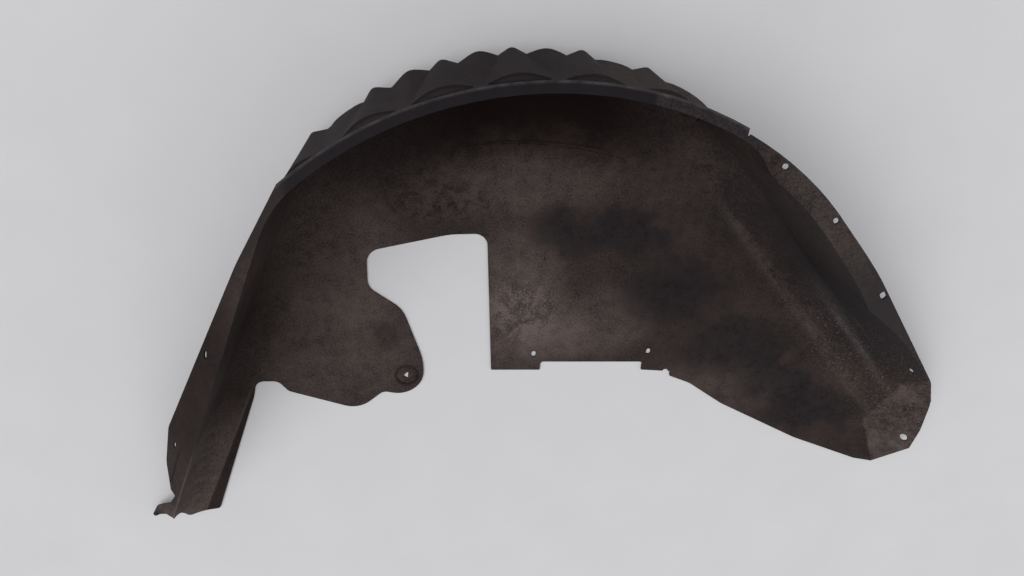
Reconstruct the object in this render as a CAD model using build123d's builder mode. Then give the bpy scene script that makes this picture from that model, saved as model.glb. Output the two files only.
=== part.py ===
from build123d import *

import os
from math import acos, cos, degrees, radians, sin, sqrt, tan

# Wheel arch liner: one sheet of moulded plastic, lying on its inner wall.
# The wheel's axis is the Z axis, the inner wall lies in the XY plane, and the open side faces up.
# The leg runs down to the left, the tail to the right. Sizes are in millimetres and degrees.

# Sheet and band
sheet = 2.5
depth = 218.0
band_radius = 351.5
band_draft = 2.8
corner_radius = 42.0

# The two straight sides, each by the direction it faces and how far it lies inside the crown's circle
tail_facing = 41.7
tail_inset = 13.5
tail_step_start = 64.0
tail_step_bend = 55.0
tail_length = 780.0
leg_facing = 157.9
leg_inset = 22.0
leg_blend = 150.0
leg_length = 570.0

# Rim: level over the crown, falling towards the leg and the tail
leg_fall_start = 262.0
leg_fall_angle = 41.6
leg_fall_end = 497.0
foot_bend = 20.0
tail_fall_start = 64.0
tail_fall_angle = 24.6
tail_fall_end = 420.0
tail_rim_bend = 60.0
rim_bend = 160.0
rim_run = 700.0

# Rim flange
crown_flange = 10.5
crown_end = 133.5
tail_flange = 20.0
notch_angle = 64.0
notch_depth = 8.0
notch_width = 9.0

# Corrugation of the band: hooded ridges with wide pillows between them
ridge_angles = (72.0, 84.0, 96.0, 108.0, 120.5, 134.0)
pillow_angles = (63.4, 78.0, 90.0, 101.7, 113.7, 126.7)
pillow_widths = (70.0, 47.0, 47.0, 47.0, 47.0, 47.0)
pillow_heights = (3.5, 2.0, 6.0, 7.5, 7.7, 1.8)
ridge_middle = 106.0
ridge_gather = 0.94
ridge_foot = 8.0
ridge_foot_sink = 28.0
ridge_base = 36.0
ridge_top = 170.0
ridge_base_width = 35.0
ridge_base_height = 7.5
ridge_top_width = 62.0
ridge_top_height = 6.5
pillow_top = 185.0
pillow_narrowing = 0.3
pillow_top_height = 2.5
pillow_top_sink = 4.0
ridge_root = 26.0
ridge_bury = 0.8
ridge_flank = 0.45

# Leg, measured along the leg's side and inwards from it
leg_edge_top = (240.0, 50.5)
leg_edge_foot = (444.0, 62.0)
leg_sole = (466.0, 27.0)
foot_tab_root = (447.0, 12.0)
foot_tab_sole = (458.0, -3.0)
foot_tab_tip = (494.0, -22.0)
foot_tab_heel = (463.0, -19.0)
foot_tab_neck = (424.0, -2.5)
foot_notch = (397.0, 1.0)
leg_flange_shoulder = (-47.0, -12.0)
leg_flange_knee = (275.0, -33.5)
leg_flange_calf = (345.0, -24.0)
leg_flange_end = (393.0, -7.5)
leg_edge_bend = 60.0
leg_sole_bend = 6.0
foot_sole_bend = 12.0
foot_tip_bend = 3.0
foot_neck_bend = 8.0
leg_shoulder_bend = 200.0
leg_knee_bend = 60.0
leg_calf_bend = 80.0

# Tail, measured along the tail's side and inwards from it
tail_flange_corner = (420.0, -30.0)
tail_flange_end = (487.0, 13.5)
tail_tab_tip = (519.0, 39.0)
tail_tab_rim = (422.0, -24.0)
tail_tab_heel = (453.5, 67.0)
tail_tab_corner = (538.0, 93.0)
tail_edge_end = (514.0, 111.0)
tail_edge_low = (415.0, 161.0)
tail_edge_mid = (288.0, 210.0)
tail_edge_high = (228.0, 225.0)
tail_corner_bend = 120.0
tail_end_bend = 60.0
tail_tab_bend = 15.0
tail_low_bend = 120.0
tail_mid_bend = 60.0
tail_high_bend = 40.0

# Leaning wall of the tail, by sections along it: foot inwards of the side, lean from upright, bend
scoop_sections = (
    (60.0, 20.0, 2.8, 42.0),
    (130.0, 12.0, 3.6, 42.0),
    (175.0, 12.0, 7.0, 43.0),
    (220.0, 12.5, 11.0, 44.0),
    (270.0, 14.5, 16.4, 45.0),
    (320.0, 18.0, 23.0, 46.0),
    (360.0, 22.5, 31.0, 46.0),
    (400.0, 28.0, 40.8, 46.0),
    (440.0, 30.0, 42.3, 46.0),
    (580.0, 33.0, 46.0, 46.0),
)
scoop_room = 90.0

# Lobe between the leg and the strut opening
gap_top = -91.0
gap_left = -343.0
gap_right = -315.0
gap_bend = 13.0
lobe_heel = (-303.0, -106.5)
lobe_sole = (-213.0, -136.5)
lobe_neck = (-180.0, -107.0)
lobe_tip = (-126.0, -119.0)
lobe_bend = 34.0
lobe_side = (-127.5, -58.0)
lobe_shoulder = (-153.5, 18.5)
lobe_side_bend = 90.0
lobe_shoulder_bend = 40.0

# Strut opening in the inner wall
strut_left = -195.5
strut_left_low = 49.0
strut_left_high = 99.0
strut_top = (-96.0, 123.0)
strut_right_top = (-51.0, 125.0)
strut_bend = 20.0
strut_top_bend = 90.0
strut_right_bend = 16.0

# Bracket edge to the right of the strut opening
bracket_left = -38.0
bracket_bottom = -73.0
relief_left = 27.0
relief_right = 165.0
relief_depth = 13.0
relief_bend = 4.0
bracket_right = 206.0
bracket_right_high = -75.5
bracket_right_low = -83.0
bracket_bend = 1.0
torn_bend = 2.0
torn_hole = (199.0, -76.0)
torn_hole_diameter = 8.0

# Crease pressed into the inner wall under the crown
crease_points = ((-80.0, 234.0), (5.0, 238.5), (104.0, 223.5))
crease_width = 2.0
crease_depth = 0.7

# Fixing holes
bracket_slot_width = 6.0
crown_slot = (7.0, 5.0)
tail_slot = (17.0, 6.0)
leg_slot = (12.0, 4.0)
tail_tab_slot = (14.0, 9.0)
slot_reach = 12.0
bracket_slots = ((17.0, -48.0), (171.0, -43.5))
bracket_slot_length = 9.0
crown_slot_angles = (56.3, 43.4)
crown_slot_edge = 5.5
tail_slot_high = (115.0, -17.5)
tail_slot_low = (356.0, -19.5)
tail_slot_low_height = 66.0
tail_slot_low_lean = 31.0
leg_slots = ((99.0, -15.0), (296.0, -19.5))
tail_tab_slot_place = (498.0, 37.0)
lobe_hole = ((-147.0, -75.5), (-147.5, -87.5), (-153.5, -83.0))
lobe_hole_bend = 1.0
lobe_dish = (-149.0, -82.0)
lobe_dish_diameter = 27.0
lobe_dish_depth = 1.0

# Room for cutting tools
clear = 60.0


def facing(angle):
    """Unit vector in the plan at this angle."""
    return Vector(cos(radians(angle)), sin(radians(angle)))


def leg_point(along, inset):
    """Plan point beside the leg."""
    outward = facing(leg_facing) * (band_radius - leg_inset - inset)
    point = outward + facing(leg_facing + 90) * along
    return (point.X, point.Y)


def tail_point(along, inset):
    """Plan point beside the tail."""
    outward = facing(tail_facing) * (band_radius - tail_inset - inset)
    point = outward + facing(tail_facing - 90) * along
    return (point.X, point.Y)


def tail_rim(along):
    """Height of the rim's upper face at this place along the tail."""
    fall = min(max(along, tail_fall_start), tail_fall_end) - tail_fall_start
    return depth - fall * tan(radians(tail_fall_angle))


def leg_rim(x):
    """Height of the rim's upper face over this place left of the axis."""
    fall = max(min(x, -leg_fall_start), -leg_fall_end) + leg_fall_start
    return depth + fall * tan(radians(leg_fall_angle))


def tilted(way, angle):
    """Upright vector tilted by this angle towards a direction in the plan."""
    return Vector(way.X * sin(radians(angle)), way.Y * sin(radians(angle)), cos(radians(angle)))


def rounded_outline(corners):
    """Closed line through corners, each given as a point and the radius that rounds it."""
    points = [point for point, bend in corners]
    bends = [bend for point, bend in corners]
    return FilletPolyline(*points, radius=bends, close=True)


def arc_about(centre, start, end):
    """Arc from one point to another about a centre, the short way round."""
    spoke = start - centre
    middle = (spoke + (end - centre)).normalized() * spoke.length
    return ThreePointArc(start, centre + middle, end)


def arch_outline(radius):
    """Closed plan outline of the arch: tail side, step, crown, leg blend, leg side, closing line."""
    axis = Vector(0, 0)
    tail_radius = radius - tail_inset
    tail_side = facing(tail_facing) * tail_radius
    tail_end = tail_side + facing(tail_facing - 90) * tail_length
    # The step is two equal arcs, one inside the crown's circle and one outside the tail's
    inner = radius - tail_step_bend
    outer = tail_radius + tail_step_bend
    spread = acos((inner**2 + outer**2 - (2 * tail_step_bend) ** 2) / (2 * inner * outer))
    step_crown = facing(tail_step_start) * radius
    step_tail = facing(tail_step_start - degrees(spread)) * tail_radius
    inner_centre = facing(tail_step_start) * inner
    outer_centre = facing(tail_step_start - degrees(spread)) * outer
    step_middle = (inner_centre + outer_centre) * 0.5
    # The leg's blend touches the crown's circle and the leg's straight side
    reach = radius - leg_inset - leg_blend
    shift = sqrt((radius - leg_blend) ** 2 - reach**2)
    leg_centre = facing(leg_facing) * reach + facing(leg_facing - 90) * shift
    leg_side = leg_centre + facing(leg_facing) * leg_blend
    leg_crown = leg_centre.normalized() * radius
    leg_end = leg_side + facing(leg_facing + 90) * leg_length
    Line(tail_end, tail_side)
    arc_about(axis, tail_side, step_tail)
    arc_about(outer_centre, step_tail, step_middle)
    arc_about(inner_centre, step_middle, step_crown)
    arc_about(axis, step_crown, leg_crown)
    arc_about(leg_centre, leg_crown, leg_side)
    Line(leg_side, leg_end)
    Line(leg_end, tail_end)


def wall_radius(height, thickness):
    """Crown radius of the band's face at this height, with the sheet's thickness added or not."""
    return band_radius - (depth - height) * tan(radians(band_draft)) + thickness


def tub(bottom, thickness):
    """The space inside the arch, or the same grown by the sheet, with its rolled corner."""
    top = depth + clear
    with BuildPart() as block:
        for height in (bottom, top):
            with BuildSketch(Plane.XY.offset(height)):
                with BuildLine():
                    arch_outline(wall_radius(height, thickness))
                make_face()
        loft(ruled=True)
        floor_edges = block.edges().group_by(Axis.Z)[0]
        fillet(floor_edges.sort_by(Axis.Y)[1:], corner_radius + thickness)
        add(tail_scoop(bottom, thickness))
        with BuildSketch(tail_tab_plane(thickness)):
            Rectangle(depth * 2, depth * 2)
        extrude(amount=depth, mode=Mode.SUBTRACT)
    return block.part


def tail_scoop(bottom, thickness):
    """The space inside the tail's leaning wall, or the same grown by the sheet."""
    with BuildPart() as space:
        for along, foot, lean, bend in scoop_sections:
            slope = tan(radians(lean))
            top = tail_rim(along) + clear
            low = thickness / cos(radians(lean)) - foot + (bottom - sheet) * slope
            high = low + (top - bottom) * slope
            place = Vector(*tail_point(along, 0))
            across = Plane(place, x_dir=facing(tail_facing), z_dir=facing(tail_facing - 90))
            corners = (
                ((-scoop_room, bottom), 0),
                ((low, bottom), bend + thickness),
                ((high, top), 0),
                ((-scoop_room, top), 0),
            )
            with BuildSketch(across):
                with BuildLine():
                    rounded_outline(corners)
                make_face()
        loft(ruled=True)
    return space.part


def tail_tab_plane(thickness):
    """Sloping plane of the tail's tab, facing out and down."""
    heel = Vector(*tail_point(*tail_tab_heel), sheet)
    corner = Vector(*tail_point(*tail_tab_corner), sheet)
    edge = Vector(*tail_point(*tail_tab_rim), tail_rim(tail_tab_rim[0]))
    outward = (edge - heel).cross(corner - heel).normalized()
    return Plane(heel + outward * thickness, x_dir=corner - heel, z_dir=outward)


def bump(angle, sections, thickness):
    """One ridge or pillow, lofted through sections of height, width, bulge and sink."""
    top_angle = ridge_middle + (angle - ridge_middle) * ridge_gather
    turns = (angle, angle, top_angle)
    with BuildPart() as shape:
        for turn, (height, width, bulge, sink) in zip(turns, sections):
            radius = wall_radius(height, thickness)
            half = width / 2 - sheet + thickness
            shoulder = sqrt(radius**2 - half**2) - sink - ridge_bury
            peak = radius + bulge - sink
            root = radius - sink - ridge_root
            with BuildSketch(Plane.XY.offset(height).rotated((0, 0, turn - 90))):
                with BuildLine():
                    Polyline((half, shoulder), (half, root), (-half, root), (-half, shoulder))
                    Spline(
                        (-half, shoulder), (0, peak), (half, shoulder),
                        tangents=((1, ridge_flank), (1, -ridge_flank)),
                    )
                make_face()
        loft(ruled=True)
    return shape.part


def corrugation(thickness):
    """All ridges and pillows, solid for the outside of the band or as the hollows behind it."""
    lift = sheet - thickness
    ridge = (
        (ridge_foot + lift, ridge_base_width, ridge_base_height, ridge_foot_sink),
        (ridge_base, ridge_base_width, ridge_base_height, 0),
        (ridge_top - lift, ridge_top_width, ridge_top_height, 0),
    )
    bumps = [bump(angle, ridge, thickness) for angle in ridge_angles]
    for angle, width, height in zip(pillow_angles, pillow_widths, pillow_heights):
        pillow = (
            (ridge_foot + lift, width, height, ridge_foot_sink),
            (ridge_base, width, height, 0),
            (pillow_top - lift, width * pillow_narrowing, pillow_top_height, pillow_top_sink),
        )
        bumps.append(bump(angle, pillow, thickness))
    return bumps


def under_rim(drop):
    """Everything below the rim's upper face, lowered by a drop."""
    leg_corners = (
        ((-rim_run, leg_rim(-rim_run) - drop), 0),
        ((-leg_fall_end, leg_rim(-leg_fall_end) - drop), foot_bend),
        ((-leg_fall_start, depth - drop), rim_bend),
        ((rim_run, depth - drop), 0),
        ((rim_run, -rim_run), 0),
        ((-rim_run, -rim_run), 0),
    )
    tail_corners = (
        ((-rim_run, depth - drop), 0),
        ((tail_fall_start, depth - drop), rim_bend),
        ((tail_fall_end, tail_rim(tail_fall_end) - drop), tail_rim_bend),
        ((rim_run, tail_rim(rim_run) - drop), 0),
        ((rim_run, -rim_run), 0),
        ((-rim_run, -rim_run), 0),
    )
    tail_side = Plane((0, 0, 0), x_dir=facing(tail_facing - 90), z_dir=facing(tail_facing - 180))
    with BuildPart() as space:
        with BuildSketch(Plane.XZ):
            with BuildLine():
                rounded_outline(leg_corners)
            make_face()
        extrude(amount=rim_run, both=True)
        with BuildSketch(tail_side):
            with BuildLine():
                rounded_outline(tail_corners)
            make_face()
        extrude(amount=rim_run, both=True, mode=Mode.INTERSECT)
    return space.part


def flange_outline():
    """Plan of the rim flange, filled in: crown and leg to their edges, the tail run out past its own."""
    tail_radius = band_radius - tail_inset + tail_flange
    leg_corners = (
        (leg_point(*leg_flange_shoulder), leg_shoulder_bend),
        (leg_point(*leg_flange_knee), leg_knee_bend),
        (leg_point(*leg_flange_calf), leg_calf_bend),
        (leg_point(*leg_flange_end), 0),
        (leg_point(*foot_notch), 0),
        (leg_point(*foot_tab_neck), foot_neck_bend),
        (leg_point(*foot_tab_heel), foot_sole_bend),
        (leg_point(*foot_tab_tip), foot_tip_bend),
        (leg_point(*foot_tab_sole), 0),
    )
    points = [point for point, bend in leg_corners]
    bends = [bend for point, bend in leg_corners]
    root = leg_point(*foot_tab_root)
    past = tail_point(tail_length, -tail_flange * 3)
    with BuildSketch() as plan:
        with BuildLine():
            tail = CenterArc((0, 0), tail_radius, tail_facing, notch_angle - tail_facing)
            crown = CenterArc((0, 0), band_radius + crown_flange, notch_angle, crown_end - notch_angle)
            Line(tail @ 1, crown @ 0)
            FilletPolyline(crown @ 1, *points, root, radius=bends)
            Polyline(root, past, tail @ 0)
        make_face()
    return plan.sketch


def trim_outline():
    """Plan of all that is cut away below the leg, lobe, strut opening, bracket edge and tail."""
    far = leg_length
    past_x, past_y = tail_point(0, -far)
    tab_x, tab_y = leg_point(*foot_tab_tip)
    corners = (
        ((-far, tab_y), 0),
        ((tab_x, tab_y), 0),
        (leg_point(*foot_tab_sole), foot_sole_bend),
        (leg_point(*foot_tab_root), leg_sole_bend),
        (leg_point(*leg_sole), leg_sole_bend),
        (leg_point(*leg_edge_foot), leg_sole_bend),
        (leg_point(*leg_edge_top), leg_edge_bend),
        ((gap_left, gap_top), gap_bend),
        ((gap_right, gap_top), gap_bend),
        (lobe_heel, gap_bend),
        (lobe_sole, lobe_bend),
        (lobe_neck, gap_bend),
        (lobe_tip, lobe_bend),
        (lobe_side, lobe_side_bend),
        (lobe_shoulder, lobe_shoulder_bend),
        ((strut_left, strut_left_low), strut_bend),
        ((strut_left, strut_left_high), strut_bend),
        (strut_top, strut_top_bend),
        (strut_right_top, strut_right_bend),
        ((bracket_left, bracket_bottom), bracket_bend),
        ((relief_left, bracket_bottom), bracket_bend),
        ((relief_left, bracket_bottom + relief_depth), relief_bend),
        ((relief_right, bracket_bottom + relief_depth), relief_bend),
        ((relief_right, bracket_bottom), bracket_bend),
        ((bracket_right, bracket_right_high), torn_bend),
        ((bracket_right, bracket_right_low), torn_bend),
        (tail_point(*tail_edge_high), tail_high_bend),
        (tail_point(*tail_edge_mid), tail_mid_bend),
        (tail_point(*tail_edge_low), tail_low_bend),
        (tail_point(*tail_edge_end), tail_tab_bend),
        (tail_point(*tail_tab_corner), 0),
        (tail_point(*tail_tab_tip), 0),
        (tail_point(*tail_flange_end), tail_end_bend),
        (tail_point(*tail_flange_corner), tail_corner_bend),
        (tail_point(0, -tail_flange), 0),
        ((past_x, past_y), 0),
        ((tail_length, past_y), 0),
        ((tail_length, -far), 0),
        ((-far, -far), 0),
    )
    with BuildSketch() as plan:
        with BuildLine():
            rounded_outline(corners)
        make_face()
    return plan.sketch


def upright_slots():
    """Plan of the slots cut straight down: crown and bracket edge."""
    reach = band_radius - tail_inset + tail_flange - crown_slot_edge
    with BuildSketch() as plan:
        for angle in crown_slot_angles:
            with PolarLocations(reach, 1, angle):
                SlotOverall(*crown_slot, rotation=90)
        with Locations(*bracket_slots):
            SlotOverall(bracket_slot_length, bracket_slot_width, rotation=90)
    return plan.sketch


def sloping_slots():
    """Planes and sizes of the slots cut square to the sheet: tail, leg and tail's tab."""
    tail_run = facing(tail_facing - 90)
    leg_run = facing(leg_facing + 90)
    high = Vector(*tail_point(*tail_slot_high), tail_rim(tail_slot_high[0]))
    low = Vector(*tail_point(*tail_slot_low), tail_slot_low_height)
    falling = tilted(tail_run, 90 + tail_fall_angle)
    leaning = tilted(facing(tail_facing + 180), 90 - tail_slot_low_lean)
    slots = [
        (Plane(high, x_dir=falling, z_dir=tilted(tail_run, tail_fall_angle)), tail_slot),
        (Plane(low, x_dir=falling, z_dir=leaning), tail_slot),
    ]
    for along, inset in leg_slots:
        x, y = leg_point(along, inset)
        sloping = tilted(Vector(-1, 0), leg_fall_angle)
        slots.append((Plane((x, y, leg_rim(x)), x_dir=leg_run, z_dir=sloping), leg_slot))
    facet = tail_tab_plane(0)
    x, y = tail_point(*tail_tab_slot_place)
    rise = (facet.origin - Vector(x, y)).dot(facet.z_dir) / facet.z_dir.Z
    slots.append((Plane((x, y, rise), x_dir=falling, z_dir=facet.z_dir), tail_tab_slot))
    return slots


cavity = tub(sheet, 0)

with BuildPart() as band:
    # Band and inner wall: the outside less the inside, cut level with the rim
    add(tub(0, sheet))
    for solid in corrugation(sheet):
        add(solid)
    add(cavity, mode=Mode.SUBTRACT)
    for hollow in corrugation(0):
        add(hollow, mode=Mode.SUBTRACT)
    add(under_rim(0), mode=Mode.INTERSECT)

with BuildPart() as flange:
    # Rim flange: a strip of the rim's own sheet, outside the cavity
    with BuildSketch():
        add(flange_outline())
    extrude(amount=depth)
    add(under_rim(0), mode=Mode.INTERSECT)
    add(under_rim(sheet), mode=Mode.SUBTRACT)
    add(cavity, mode=Mode.SUBTRACT)

with BuildPart() as wheel_arch_liner:
    add(band.part)
    add(flange.part)
    # Plan cuts: lower edges, slots, holes and the notch in the flange
    crown_edge = band_radius + crown_flange
    notch_half = degrees(notch_width / 2 / crown_edge)
    with BuildSketch():
        add(trim_outline())
        add(upright_slots())
        with BuildLine():
            FilletPolyline(*lobe_hole, radius=lobe_hole_bend, close=True)
        make_face()
        with Locations(torn_hole):
            Circle(torn_hole_diameter / 2)
        with BuildLine():
            Polyline(
                facing(notch_angle) * (crown_edge - notch_depth),
                facing(notch_angle - notch_half) * (crown_edge + sheet),
                facing(notch_angle + notch_half) * (crown_edge + sheet),
                close=True,
            )
        make_face()
    extrude(amount=depth, mode=Mode.SUBTRACT)
    for plane, size in sloping_slots():
        with BuildSketch(plane):
            SlotOverall(*size)
        extrude(amount=slot_reach, both=True, mode=Mode.SUBTRACT)
    # Shallow marks in the inner wall: the dish round the lobe's hole, and the crease
    with BuildSketch(Plane.XY.offset(sheet)):
        with Locations(lobe_dish):
            Circle(lobe_dish_diameter / 2)
    extrude(amount=-lobe_dish_depth, mode=Mode.SUBTRACT)
    with BuildSketch(Plane.XY.offset(sheet)):
        with BuildLine():
            ThreePointArc(*crease_points)
        trace(line_width=crease_width)
    extrude(amount=-crease_depth, mode=Mode.SUBTRACT)

wheel_arch_liner.part.label = "wheel_arch_liner"
os.makedirs("parts", exist_ok=True)
export_step(wheel_arch_liner.part, "parts/wheel_arch_liner.step")
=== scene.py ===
from math import cos, radians, sin

import bpy
from mathutils import Matrix, Vector


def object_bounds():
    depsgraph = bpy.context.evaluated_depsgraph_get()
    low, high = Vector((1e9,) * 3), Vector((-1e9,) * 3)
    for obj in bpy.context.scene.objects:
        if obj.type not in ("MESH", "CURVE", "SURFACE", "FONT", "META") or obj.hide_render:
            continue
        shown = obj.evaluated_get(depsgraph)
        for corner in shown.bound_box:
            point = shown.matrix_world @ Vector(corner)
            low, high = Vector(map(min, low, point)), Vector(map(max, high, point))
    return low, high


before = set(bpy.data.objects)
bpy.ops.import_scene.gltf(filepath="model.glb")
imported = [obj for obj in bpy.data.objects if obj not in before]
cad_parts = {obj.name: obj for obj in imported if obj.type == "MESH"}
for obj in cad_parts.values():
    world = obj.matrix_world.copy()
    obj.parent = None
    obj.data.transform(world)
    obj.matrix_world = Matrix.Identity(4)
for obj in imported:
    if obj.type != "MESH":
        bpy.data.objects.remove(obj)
cad_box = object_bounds()

bl_info = {
    "name": "Wheel arch liner",
    "version": (1, 0, 0),
    "blender": (4, 5, 0),
    "location": "View3D > Sidebar > Liner",
    "description": "Gives a moulded wheel arch liner its worn finish and sets it on a studio floor",
    "category": "Object",
}

# All places are in metres from the wheel's axis, and heights from the inner wall's outer face
AXIS = (0.0, 0.0)

# The crown's wall, its rim flange's outer edge, worn and with a painted highlight, and the rim's
# height
CROWN_REACH = 0.3515
RIM_REACH = 0.3612
RIM_TOP = cad_box[1][2]
# The heights between which the band's outside gives way to the rim, and where the rim turns dusty
RIM_BAND = (RIM_TOP - 0.007, RIM_TOP - 0.004)
RIM_CHANGE = 0.0705

# The two straight sides, by the way they face and how far they lie from the axis
TAIL_FACING = radians(41.7)
TAIL_REACH = 0.338
LEG_FACING = radians(157.9)
LEG_REACH = 0.3295

# The ridges' closed upper ends: height, degrees round the crown, half spread and outer edge
RIDGE_TOP = 0.17
RIDGE_BEARINGS = (73.9, 85.3, 96.6, 107.9, 119.6, 132.3)
RIDGE_SPREAD = radians(4.75)
RIDGE_FOOT_REACH = 0.35165
RIDGE_RISE = 0.0065

# The round crease below the crown and the round dish in the lobe
CREASE_CENTRE = (-0.0066, -0.2872)
CREASE_REACH = 0.5284
DISH_CENTRE = (-0.149, -0.082)
DISH_EDGE = 0.0145

# On the tail: the rim's notch, two light streaks (the corner one partly a painted highlight), and the
# end facet's folds as along, inset and slope
NOTCH_ALONG = -0.115
CORNER_STREAK_INSET = 0.054
WALL_STREAK_INSET = 0.017
FACET_FOLDS = ((0.396, -0.008, 0.76), (0.453, 0.067, 3.27))

# On the leg: the flange's fold, the edge strip, the hooked line, the foot and its torn tip
LEG_FOLD_INSET = 0.0055
LEG_STRIP_INSET = 0.0445
LEG_HOOK_INSET = -0.011
FOOT_ALONG = 0.425
FOOT_TIP_ALONG = 0.465

# Dust on the inner wall: each patch's middle, its reach along X and Y, and its amount
DUST_PATCHES = (
    ((-0.234, -0.045), (0.15, 0.12), 0.3),
    ((-0.24, 0.085), (0.12, 0.13), 0.46),
    ((-0.09, 0.178), (0.14, 0.05), 0.17),
    ((0.0, 0.19), (0.11, 0.05), 0.28),
    ((-0.01, 0.03), (0.085, 0.14), 0.52),
    ((0.045, -0.02), (0.07, 0.05), 0.42),
    ((0.1, 0.0), (0.09, 0.07), 0.34),
    ((0.15, 0.21), (0.1, 0.06), 0.16),
    ((0.29, -0.1), (0.13, 0.06), 0.27),
)
# Washed patches on a shallow arc down to the tail: each one's middle and its reach along X and Y
WASHED_PATCHES = (
    ((0.052, 0.13), (0.065, 0.045)),
    ((0.135, 0.125), (0.055, 0.045)),
    ((0.195, 0.045), (0.095, 0.062)),
    ((0.285, -0.035), (0.095, 0.06)),
    ((0.36, -0.09), (0.075, 0.05)),
    ((0.425, -0.14), (0.085, 0.055)),
)

FLOOR_ROUGHNESS = 0.9
FLOOR_SPECULAR = 0.1
SENSOR_WIDTH_MM = 36.0


class FinishSettings(bpy.types.PropertyGroup):
    """Colours and amounts of the liner's finish."""

    plastic: bpy.props.FloatVectorProperty(
        name="Plastic", description="Bare moulded plastic", subtype="COLOR",
        default=(0.012, 0.0105, 0.0105),
    )
    film: bpy.props.FloatVectorProperty(
        name="Mud film", description="Thin film of dried mud", subtype="COLOR",
        default=(0.048, 0.0345, 0.0315),
    )
    # Dry road dust; the same colour paints the highlight along the tail's rolled corner
    dust_and_highlight: bpy.props.FloatVectorProperty(
        name="Dust", description="Dry road dust in patches and specks", subtype="COLOR",
        default=(0.125, 0.097, 0.089),
    )
    washed: bpy.props.FloatVectorProperty(
        name="Washed plastic", description="Areas that water has washed", subtype="COLOR",
        default=(0.0145, 0.0128, 0.0152),
    )
    # Dark damp stains; the same colour paints the shade under the crown, beside its shoulders, along
    # its crease and under the ridges' closed ends
    stain_and_shade: bpy.props.FloatVectorProperty(
        name="Stain", description="Dark damp stains", subtype="COLOR",
        default=(0.0056, 0.0018, 0.0018),
    )
    weathered: bpy.props.FloatVectorProperty(
        name="Weathered plastic", description="Plastic greyed by weather outside the band",
        subtype="COLOR", default=(0.028, 0.0225, 0.0235),
    )
    # Pale rubbed plastic; the same colour paints the highlights on the ridges' closed tops and along
    # the rim's outer edge
    scuffed_and_highlight: bpy.props.FloatVectorProperty(
        name="Scuffed edge", description="Plastic rubbed pale along edges", subtype="COLOR",
        default=(0.1, 0.09, 0.095),
    )
    roughness: bpy.props.FloatProperty(
        name="Roughness", description="Roughness of the bare plastic", subtype="FACTOR",
        default=0.6, min=0.0, max=1.0,
    )
    film_roughness: bpy.props.FloatProperty(
        name="Film roughness", description="Roughness that the mud film adds", subtype="FACTOR",
        default=0.22, min=0.0, max=1.0,
    )
    specular: bpy.props.FloatProperty(
        name="Specular", description="Strength of the plastic's sheen", subtype="FACTOR",
        default=0.05, min=0.0, max=1.0,
    )
    grain: bpy.props.FloatProperty(
        name="Grain", description="Strength of the grain's relief", subtype="FACTOR",
        default=0.3, min=0.0, max=1.0,
    )
    grain_height: bpy.props.FloatProperty(
        name="Grain height", description="Height of the grain's relief", subtype="DISTANCE",
        default=0.0008, min=0.0,
    )


class StudioSettings(bpy.types.PropertyGroup):
    """Floor, light and camera."""

    floor: bpy.props.FloatVectorProperty(
        name="Floor", description="Colour of the floor", subtype="COLOR",
        default=(0.62, 0.62, 0.638),
    )
    floor_mottle: bpy.props.FloatProperty(
        name="Floor mottle", description="Share by which the floor's colour varies",
        subtype="FACTOR", default=0.04, min=0.0, max=1.0,
    )
    floor_size: bpy.props.FloatProperty(
        name="Floor size", description="Length of the floor's sides", subtype="DISTANCE",
        default=16.0, min=0.0,
    )
    floor_drop: bpy.props.FloatProperty(
        name="Floor drop", description="How far the floor lies below the liner",
        subtype="DISTANCE", default=0.0004, min=0.0,
    )
    sky: bpy.props.FloatProperty(
        name="Fill", description="Strength of the even light from all round", default=0.56, min=0.0,
    )
    key: bpy.props.FloatProperty(
        name="Key", description="Strength of the soft light from above", default=1.55, min=0.0,
    )
    key_from: bpy.props.FloatVectorProperty(
        name="Key direction", description="Direction towards the key light", subtype="DIRECTION",
        default=(-0.38, 0.24, 0.89),
    )
    key_spread: bpy.props.FloatProperty(
        name="Key spread", description="Apparent width of the key light", subtype="ANGLE",
        default=radians(50.0),
    )
    lens: bpy.props.FloatProperty(
        name="Lens", description="Focal length of the camera", unit="CAMERA", default=27.07,
    )
    camera_place: bpy.props.FloatVectorProperty(
        name="Camera", description="Where the camera stands", subtype="TRANSLATION",
        default=(-0.11167, 0.51069, 0.84498),
    )
    camera_right: bpy.props.FloatVectorProperty(
        name="Camera right", description="Direction to the picture's right", subtype="DIRECTION",
        default=(0.9951, 0.0553, 0.0817),
    )
    camera_up: bpy.props.FloatVectorProperty(
        name="Camera up", description="Direction to the picture's top", subtype="DIRECTION",
        default=(-0.0094, 0.8773, -0.4799),
    )


class Signal:
    """One value in a finish; plain arithmetic on it adds Math nodes."""

    def __init__(self, finish, socket):
        self.finish = finish
        self.socket = socket

    def math(self, operation, first, second=0.0, clamp=False):
        settings = {"operation": operation, "use_clamp": clamp}
        return self.finish.node("ShaderNodeMath", settings, {0: first, 1: second})

    def __add__(self, other):
        return self.math("ADD", self, other)

    def __radd__(self, other):
        return self.math("ADD", other, self)

    def __sub__(self, other):
        return self.math("SUBTRACT", self, other)

    def __rsub__(self, other):
        return self.math("SUBTRACT", other, self)

    def __mul__(self, other):
        return self.math("MULTIPLY", self, other)

    def __rmul__(self, other):
        return self.math("MULTIPLY", other, self)

    def __truediv__(self, other):
        return self.math("DIVIDE", self, other)

    def __pow__(self, other):
        return self.math("POWER", self, other)

    def __abs__(self):
        return self.math("ABSOLUTE", self)

    def capped(self):
        """The same value held between 0 and 1."""
        return self.math("ADD", self, 0.0, clamp=True)


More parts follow.
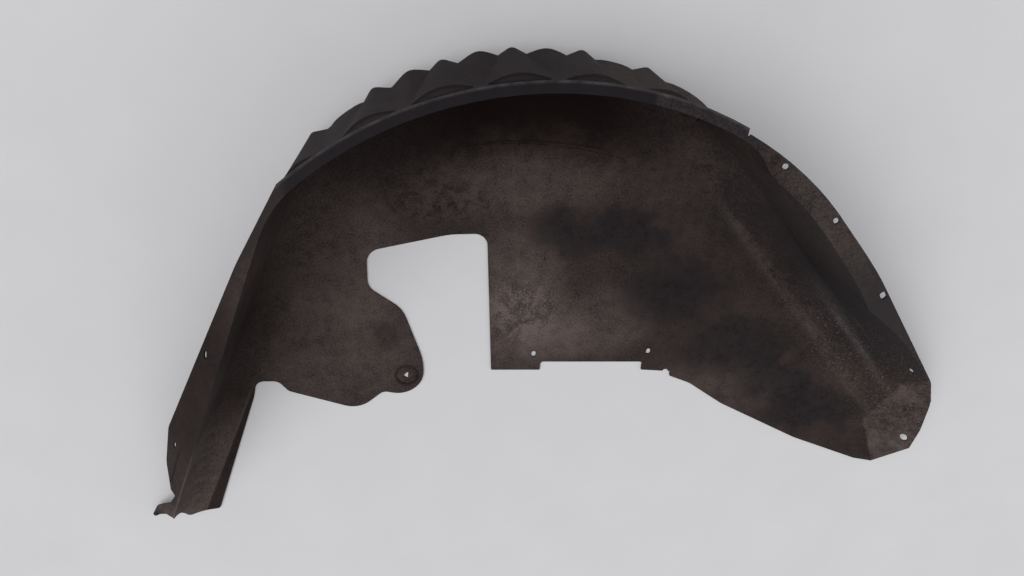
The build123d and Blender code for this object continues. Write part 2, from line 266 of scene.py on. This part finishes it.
class Finish:
    """A material and the nodes it is built from."""

    def __init__(self, name):
        self.material = bpy.data.materials.new(name)
        self.material.use_nodes = True
        self.tree = self.material.node_tree
        self.tree.nodes.clear()
        self.place = self.node("ShaderNodeTexCoord", output="Object")

    def node(self, kind, settings=None, inputs=None, output=0):
        """Adds one node: its settings first, then its sockets' values or links."""
        node = self.tree.nodes.new(kind)
        for name, value in (settings or {}).items():
            setattr(node, name, value)
        for key, value in (inputs or {}).items():
            if isinstance(value, Signal):
                self.tree.links.new(value.socket, node.inputs[key])
            else:
                node.inputs[key].default_value = value
        return Signal(self, node.outputs[output]) if node.outputs else None

    def coordinates(self):
        """The place on the object along X, Y and Z."""
        split = self.node("ShaderNodeSeparateXYZ", inputs={0: self.place})
        return [Signal(self, output) for output in split.socket.node.outputs]

    def noise(self, scale, detail=4.0, roughness=0.55, stretch=(1, 1, 1), turn=0.0, warp=0.0):
        """Even noise from 0 to 1, so many patches to the metre, drawn out along turned axes."""
        inputs = {"Vector": self.place, "Rotation": (0, 0, turn), "Scale": stretch}
        place = self.node("ShaderNodeMapping", {"vector_type": "TEXTURE"}, inputs)
        inputs = {
            "Vector": place, "Scale": scale, "Detail": detail, "Roughness": roughness,
            "Distortion": warp,
        }
        return self.node("ShaderNodeTexNoise", inputs=inputs)

    def least(self, first, second):
        """The smaller of two values."""
        return self.node("ShaderNodeMath", {"operation": "MINIMUM"}, {0: first, 1: second})

    def rise(self, value, low, high):
        """0 below low, 1 above high, smooth between; the other way round if low is above high."""
        settings = {"interpolation_type": "SMOOTHSTEP"}
        inputs = {"Value": value, "From Min": low, "From Max": high}
        return self.node("ShaderNodeMapRange", settings, inputs)

    def span(self, value, start, full, fade, end):
        """1 between full and fade, falling to 0 at start and at end."""
        return self.rise(value, start, full) * self.rise(value, end, fade)

    def stripe(self, value, centre, width):
        """1 where value is at the centre, 0 where it is a width away."""
        return self.rise(abs(value - centre), width, 0.0)

    def spot(self, x, y, centre, size):
        """1 at a place in the plan, falling to 0 at the size's distances along X and Y."""
        along = (x - centre[0]) / size[0]
        across = (y - centre[1]) / size[1]
        return self.rise(along * along + across * across, 1.0, 0.0)

    def blend(self, amount, under, over):
        """The colour over, laid on the colour under by this amount."""
        inputs = {"Factor": amount, 6: under, 7: over}
        return self.node("ShaderNodeMix", {"data_type": "RGBA"}, inputs, 2)

    def surface(self, colour, roughness, specular, normal=None):
        """Joins everything to the material's surface."""
        inputs = {"Base Color": colour, "Roughness": roughness, "Specular IOR Level": specular}
        if normal is not None:
            inputs["Normal"] = normal
        shader = self.node("ShaderNodeBsdfPrincipled", inputs=inputs)
        self.node("ShaderNodeOutputMaterial", inputs={"Surface": shader})
        return self.material


def opaque(colour):
    """A colour setting with its alpha."""
    return (*colour, 1.0)


class LinerFinish(Finish):
    """Worn black plastic: mud film, dust, washed streaks, stains and rubbed edges, with painted shade
    under the crown and at the ridges' ends and painted highlights on the ridges' tops, the rim's edge
    and the tail's rolled corner.
    """

    def __init__(self, settings):
        super().__init__("liner_worn_plastic")
        self.settings = settings
        self.measure()
        self.cloud = self.noise(6.0, detail=5.0, roughness=0.6) - 0.5
        self.blotch = self.noise(22.0, detail=6.0, roughness=0.65) - 0.5
        self.mottle = self.noise(80.0, detail=5.0, roughness=0.7) - 0.5
        self.grit = self.noise(400.0, detail=3.0, roughness=0.75) - 0.5
        # Runs drawn out along the tail
        turn = TAIL_FACING - radians(90)
        self.run = self.noise(45.0, detail=6.0, roughness=0.65, stretch=(7, 1, 1), turn=turn) - 0.5

    def measure(self):
        """Where a place lies on the arch: along the sides, inwards of the band, and on the rim."""
        self.x, self.y, self.z = self.coordinates()
        self.tail_along = self.x * sin(TAIL_FACING) - self.y * cos(TAIL_FACING)
        self.tail_inset = TAIL_REACH - self.x * cos(TAIL_FACING) - self.y * sin(TAIL_FACING)
        self.leg_along = self.y * cos(LEG_FACING) - self.x * sin(LEG_FACING)
        self.leg_inset = LEG_REACH - self.x * cos(LEG_FACING) - self.y * sin(LEG_FACING)
        self.reach = self.away(AXIS)
        # How far inwards of the band, whichever part of the arch is nearest
        self.inset = self.least(CROWN_REACH - self.reach, self.tail_inset)
        self.inset = self.least(self.inset, self.leg_inset)
        # The crown, from the notch on the right down to the leg, with its outside and its rim
        crown = self.rise(self.tail_along, NOTCH_ALONG + 0.003, NOTCH_ALONG - 0.003)
        self.crown = crown * self.rise(self.y, 0.1, 0.16)
        rim = self.rise(self.z, *RIM_BAND)
        outer = self.rise(self.reach, CROWN_REACH - 0.0165, CROWN_REACH - 0.0065)
        self.outside = outer * (1.0 - rim) * self.crown
        self.rim = self.rise(self.reach, CROWN_REACH - 0.001, CROWN_REACH) * rim * self.crown

    def away(self, centre):
        """How far a place lies from a centre, in the plan."""
        x = self.x - centre[0]
        y = self.y - centre[1]
        return (x * x + y * y) ** 0.5

    def patch(self, centre, size):
        """A soft spot on the inner wall."""
        return self.spot(self.x, self.y, centre, size)

    def uneven(self, level, **shares):
        """A level broken up by so large a share of each noise that is named."""
        for noise, share in shares.items():
            level = level + share * getattr(self, noise)
        return level

    def lay(self, colour, name, amount):
        """One of the settings' colours, laid over a colour by this amount."""
        return self.blend(amount.capped(), colour, opaque(getattr(self.settings, name)))

    def build(self):
        """All the marks, one over the other, joined to the surface."""
        film = self.uneven(0.58, cloud=1.2, blotch=0.8, mottle=0.9, grit=2.6).capped()
        colour = self.blend(film, opaque(self.settings.plastic), opaque(self.settings.film))
        marks = (
            self.dusty_wall, self.dark_marks, self.crown_painted_shade, self.washed_tail, self.tail_dust_and_highlight,
            self.lighter_facet, self.leg_marks, self.foot_marks, self.band_outside, self.rim_stripe,
        )
        for mark in marks:
            colour = mark(colour)
        relief = {
            "Strength": self.settings.grain, "Distance": self.settings.grain_height,
            "Height": self.grit + self.mottle,
        }
        normal = self.node("ShaderNodeBump", inputs=relief)
        roughness = self.settings.roughness + self.settings.film_roughness * film
        return self.surface(colour, roughness, self.settings.specular, normal)

    def dusty_wall(self, colour):
        """Dust on the lobe, round the strut opening and along the lower edges."""
        cover = self.uneven(0.85, blotch=1.5, mottle=1.5, grit=2.4)
        for centre, size, amount in DUST_PATCHES:
            colour = self.lay(colour, "dust_and_highlight", self.patch(centre, size) * cover * amount)
        # Crumbs of dry mud beside the strut opening
        crumbs = self.rise(self.uneven(self.mottle, blotch=1.0, grit=1.5), -0.06, 0.16)
        crumbs = crumbs * self.patch((-0.002, 0.014), (0.06, 0.055))
        return self.lay(colour, "dust_and_highlight", crumbs)

    def dark_marks(self, colour):
        """Scuffs above the strut opening, a smear on the lobe and a ring round its dish."""
        scuffs = self.rise(self.noise(70.0, detail=5.0, roughness=0.65, warp=0.8), 0.44, 0.64)
        scuffs = scuffs * self.patch((-0.105, 0.165), (0.085, 0.035))
        smear = self.patch((-0.173, -0.019), (0.022, 0.03))
        ring = self.stripe(self.away(DISH_CENTRE), DISH_EDGE, 0.0035)
        return self.lay(colour, "stain_and_shade", 0.62 * scuffs + 0.3 * smear + 0.5 * ring)

    def crown_painted_shade(self, colour):
        """Painted shade on the inner wall under the crown, painted shade beside both shoulders and a
        painted shaded line along the crease below the crown.
        """
        # Painted shade that the crown's wall casts on the inner wall, darkest next to the wall
        band = self.rise(self.uneven(self.inset, blotch=0.05, mottle=0.03), 0.145, 0.075)
        band = band * self.rise(self.y, 0.08, 0.2) * self.span(self.x, -0.26, -0.06, 0.05, 0.22)
        # Painted shade beside the left and right walls
        left = self.patch((-0.29, 0.11), (0.12, 0.19))
        right = self.patch((0.285, 0.085), (0.11, 0.08))
        # A thin painted shaded line along the crease below the crown
        crease = self.stripe(self.uneven(self.away(CREASE_CENTRE), mottle=0.004), CREASE_REACH, 0.0022)
        crease = crease * self.span(self.x, -0.08, -0.05, 0.07, 0.095)
        return self.lay(colour, "stain_and_shade", 0.87 * band + 0.2 * left + 0.14 * right + 0.28 * crease)

    def washed_tail(self, colour):
        """Bluish washed patches with dark grain, the tail's cleaner wall and its pale bloom."""
        x = self.uneven(self.x, blotch=0.11, cloud=0.04)
        y = self.y + 0.1 * (self.noise(24.0, detail=6.0, roughness=0.65) - 0.5)
        band = sum(self.spot(x, y, centre, size) for centre, size in WASHED_PATCHES)
        band = band * self.uneven(0.95, mottle=1.6, grit=2.4)
        corner = self.patch((0.3, 0.16), (0.1, 0.06))
        wall = self.rise(self.uneven(self.tail_inset, blotch=0.03), 0.05, 0.01)
        wall = wall * self.span(self.tail_along, 0.06, 0.16, 0.3, 0.44)
        washed = 0.66 * band + 0.3 * corner + self.uneven(0.66, run=1.8) * wall
        colour = self.lay(colour, "washed", washed)
        grain = self.least(band, 1.0) * self.uneven(0.03, mottle=1.6, grit=2.0)
        colour = self.lay(colour, "stain_and_shade", grain)
        bloom = self.rise(self.tail_inset, 0.03, 0.0)
        bloom = bloom * self.span(self.tail_along, -0.12, 0.0, 0.3, 0.4)
        return self.lay(colour, "scuffed_and_highlight", bloom * self.uneven(0.11, run=0.3))

    def tail_dust_and_highlight(self, colour):
        """A light streak along the tail's rolled corner, partly dust and partly a painted highlight on
        its fold, a dusty streak and scratches on its wall, and its dusty edge.
        """
        place = self.uneven(self.tail_inset, run=0.016, mottle=0.008)
        # The corner streak on the fold where the rolled corner starts: dust together with a painted
        # highlight
        corner = self.stripe(place, CORNER_STREAK_INSET, 0.012)
        corner = corner * self.span(self.tail_along, -0.04, 0.08, 0.4, 0.47)
        wall = self.stripe(place, WALL_STREAK_INSET, 0.01)
        wall = wall * self.span(self.tail_along, 0.14, 0.26, 0.4, 0.47)
        cover = self.uneven(0.6, run=2.5, mottle=1.6, grit=2.0)
        colour = self.lay(colour, "dust_and_highlight", (0.32 * corner + 0.28 * wall) * cover)
        scratches = self.rise(self.uneven(self.run, grit=0.5), 0.13, 0.19)
        scratches = scratches * self.rise(self.tail_inset, 0.07, 0.03)
        scratches = scratches * self.rise(self.tail_along, 0.16, 0.3)
        colour = self.lay(colour, "dust_and_highlight", 0.3 * scratches)
        edge = self.rise(self.tail_inset, 0.02, -0.005)
        edge = edge * self.span(self.tail_along, -0.16, -0.1, 0.0, 0.09)
        return self.lay(colour, "dust_and_highlight", edge * self.uneven(0.1, mottle=0.5, grit=0.3))

    def lighter_facet(self, colour):
        """Lighter paint on the tail's end facet, past both its folds, and dust specks on the way
        there.
        """
        upper, lower = (
            self.tail_along - (along + slope * (self.tail_inset - inset))
            for along, inset, slope in FACET_FOLDS
        )
        facet = self.rise(self.uneven(self.least(upper, lower), mottle=0.02), -0.002, 0.006)
        cover = self.uneven(0.28, blotch=1.4, mottle=1.0, grit=0.8)
        colour = self.lay(colour, "dust_and_highlight", facet * cover)
        specks = self.rise(self.noise(330.0, detail=2.0), 0.6, 0.66)
        specks = specks * self.rise(self.tail_along, 0.12, 0.34)
        specks = specks * self.rise(self.tail_inset, 0.1, 0.04)
        return self.lay(colour, "dust_and_highlight", 0.6 * specks)

    def leg_marks(self, colour):
        """Dull upper leg with its flange, the lighter lower leg, its edge strip and hooked line."""
        leg = self.rise(self.leg_along, -0.06, 0.04)
        upper = self.rise(self.leg_along, 0.36, 0.26)
        folded = self.rise(self.leg_inset, LEG_FOLD_INSET + 0.0015, LEG_FOLD_INSET - 0.0015)
        flange = folded * leg
        wall = (1.0 - folded) * self.rise(self.leg_inset, 0.06, 0.03) * leg
        colour = self.lay(colour, "stain_and_shade", flange * self.uneven(0.22 + 0.26 * upper, blotch=0.8))
        colour = self.lay(colour, "stain_and_shade", upper * wall * self.uneven(0.3, blotch=0.6))
        lower = self.rise(self.leg_along, 0.22, 0.34) * self.rise(self.leg_inset, 0.05, 0.04)
        lower = lower * (1.0 - 0.8 * flange)
        cover = self.uneven(0.42, blotch=0.6, mottle=0.6, grit=1.2)
        colour = self.lay(colour, "dust_and_highlight", lower * cover)
        strip = self.rise(self.leg_inset, LEG_STRIP_INSET, LEG_STRIP_INSET + 0.002)
        strip = strip * self.rise(self.leg_along, 0.2, 0.24)
        hook = self.stripe(self.uneven(self.leg_inset, blotch=0.01), LEG_HOOK_INSET, 0.0028)
        hook = hook * self.span(self.leg_along, 0.28, 0.31, 0.37, 0.4)
        colour = self.lay(colour, "stain_and_shade", 0.35 * strip + 0.6 * hook)
        line = self.stripe(self.leg_inset, LEG_STRIP_INSET, 0.003)
        line = line * self.rise(self.leg_along, 0.2, 0.26)
        return self.lay(colour, "dust_and_highlight", 0.25 * line)

    def foot_marks(self, colour):
        """Pale dusty foot with a bare torn tip."""
        foot = self.rise(self.leg_along, FOOT_ALONG - 0.01, FOOT_ALONG + 0.01)
        foot = foot * self.rise(self.leg_inset, 0.035, 0.02)
        colour = self.lay(colour, "dust_and_highlight", foot * self.uneven(0.27, mottle=1.5, grit=1.0))
        tip = self.rise(self.leg_along, FOOT_TIP_ALONG, FOOT_TIP_ALONG + 0.017)
        return self.lay(colour, "plastic", 0.8 * tip)

    def band_outside(self, colour):
        """Weathered outside of the band, with painted shadow lines under the ridges' closed ends and a
        thin painted highlight on their tops.
        """
        cover = self.uneven(0.68, mottle=1.2, grit=2.2)
        colour = self.lay(colour, "weathered", self.outside * cover)
        bearing = self.node("ShaderNodeMath", {"operation": "ARCTAN2"}, {0: self.y, 1: self.x})
        # Painted shadow lines along the outer edge just under each ridge's closed end
        shadow_lines = 0.0
        for middle in RIDGE_BEARINGS:
            side = (bearing - radians(middle)) / RIDGE_SPREAD
            edge = RIDGE_FOOT_REACH + RIDGE_RISE * (1.0 - side * side)
            line = self.stripe(self.reach - edge, -0.001, 0.0034)
            shadow_lines = shadow_lines + line * self.rise(abs(side), 1.02, 0.9)
        height = self.z - RIDGE_TOP
        shadow_lines = shadow_lines * self.span(height, -0.0045, -0.0015, 0.002, 0.006)
        colour = self.lay(colour, "stain_and_shade", shadow_lines)
        # A thin painted highlight on the ridges' closed tops, which face up
        top_highlight = self.stripe(height, 0.0, 0.0012) * self.rise(self.reach, 0.349, 0.351)
        return self.lay(colour, "scuffed_and_highlight", 0.18 * top_highlight * self.crown)

    def rim_stripe(self, colour):
        """The crown's clean rim, dusty on the right together with the outside, and a pale line along
        its outer edge, partly wear and partly painted highlight.
        """
        colour = self.lay(colour, "washed", self.rim * self.uneven(0.9, mottle=1.0))
        dusty_rim = self.rim * self.rise(self.x, RIM_CHANGE - 0.0025, RIM_CHANGE + 0.0025)
        dusty_outside = self.outside * self.rise(self.x, 0.0, 0.08)
        cover = self.uneven(0.09, mottle=0.25, grit=0.5)
        colour = self.lay(colour, "dust_and_highlight", (dusty_rim + 1.6 * dusty_outside) * cover)
        # A pale line along the rim's outer edge: partly wear, partly a painted highlight where the
        # edge catches light from above
        wear_and_highlight = self.rise(self.reach, RIM_REACH - 0.002, RIM_REACH) * self.crown
        wear_and_highlight = wear_and_highlight * self.rise(self.z, RIM_TOP - 0.018, RIM_TOP - 0.006)
        return self.lay(colour, "scuffed_and_highlight", wear_and_highlight * self.uneven(0.3, mottle=1.2))


def floor_finish(settings):
    """Plain pale floor with a faint mottle."""
    finish = Finish("studio_floor")
    mottle = finish.noise(9.0, detail=5.0)
    shade = opaque([(1.0 - settings.floor_mottle) * part for part in settings.floor])
    light = opaque([(1.0 + settings.floor_mottle) * part for part in settings.floor])
    colour = finish.blend(mottle, shade, light)
    return finish.surface(colour, FLOOR_ROUGHNESS, FLOOR_SPECULAR)


class LINER_OT_shell(bpy.types.Operator):
    """Give the moulded shell its worn plastic"""

    bl_idname = "liner.shell"
    bl_label = "Shell"

    def execute(self, context):
        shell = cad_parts["wheel_arch_liner"]
        shell.material_slots[0].material = LinerFinish(context.scene.liner_finish).build()
        return {"FINISHED"}


class LINER_OT_stage(bpy.types.Operator):
    """Set up the floor, the light and the camera"""

    bl_idname = "liner.stage"
    bl_label = "Stage"

    def execute(self, context):
        settings = context.scene.liner_studio
        bpy.ops.object.select_all(action="DESELECT")
        self.add_floor(context, settings)
        self.add_light(context, settings)
        self.add_camera(context, settings)
        context.scene.view_settings.view_transform = "Standard"
        return {"FINISHED"}

    def add_floor(self, context, settings):
        """The floor, a hair below the liner."""
        place = (0, 0, -settings.floor_drop)
        bpy.ops.mesh.primitive_plane_add(size=settings.floor_size, location=place)
        floor = context.active_object
        floor.name = "studio_floor"
        floor.data.materials.append(floor_finish(settings))

    def add_light(self, context, settings):
        """One broad soft light from above and an even white fill."""
        bpy.ops.object.light_add(type="SUN")
        key = context.active_object
        key.name = "key_light"
        key.rotation_euler = Vector(settings.key_from).to_track_quat("Z", "Y").to_euler()
        key.data.energy = settings.key
        key.data.angle = settings.key_spread

        world = bpy.data.worlds.new("studio")
        world.use_nodes = True
        fill = world.node_tree.nodes["Background"].inputs
        fill["Color"].default_value = (1.0, 1.0, 1.0, 1.0)
        fill["Strength"].default_value = settings.sky
        context.scene.world = world

    def add_camera(self, context, settings):
        """The camera, turned so that its right and up are the settings'."""
        bpy.ops.object.camera_add(location=settings.camera_place)
        camera = context.active_object
        right = Vector(settings.camera_right)
        back = right.cross(Vector(settings.camera_up)).normalized()
        turn = Matrix((right, back.cross(right), back)).transposed()
        camera.rotation_euler = turn.to_euler()
        camera.data.lens = settings.lens
        camera.data.sensor_width = SENSOR_WIDTH_MM
        context.scene.camera = camera


class LINER_PT_panel(bpy.types.Panel):
    """Lists the liner's steps"""

    bl_idname = "LINER_PT_panel"
    bl_label = "Wheel arch liner"
    bl_space_type = "VIEW_3D"
    bl_region_type = "UI"
    bl_category = "Liner"

    def draw(self, context):
        for operator in OPERATORS:
            self.layout.operator(operator.bl_idname)


OPERATORS = (LINER_OT_shell, LINER_OT_stage)
CLASSES = (FinishSettings, StudioSettings, *OPERATORS, LINER_PT_panel)


def register():
    for cls in CLASSES:
        bpy.utils.register_class(cls)
    bpy.types.Scene.liner_finish = bpy.props.PointerProperty(type=FinishSettings)
    bpy.types.Scene.liner_studio = bpy.props.PointerProperty(type=StudioSettings)


def unregister():
    del bpy.types.Scene.liner_studio
    del bpy.types.Scene.liner_finish
    for cls in reversed(CLASSES):
        bpy.utils.unregister_class(cls)


def main():
    register()
    bpy.ops.liner.shell()
    bpy.ops.liner.stage()


if __name__ == "__main__":
    main()
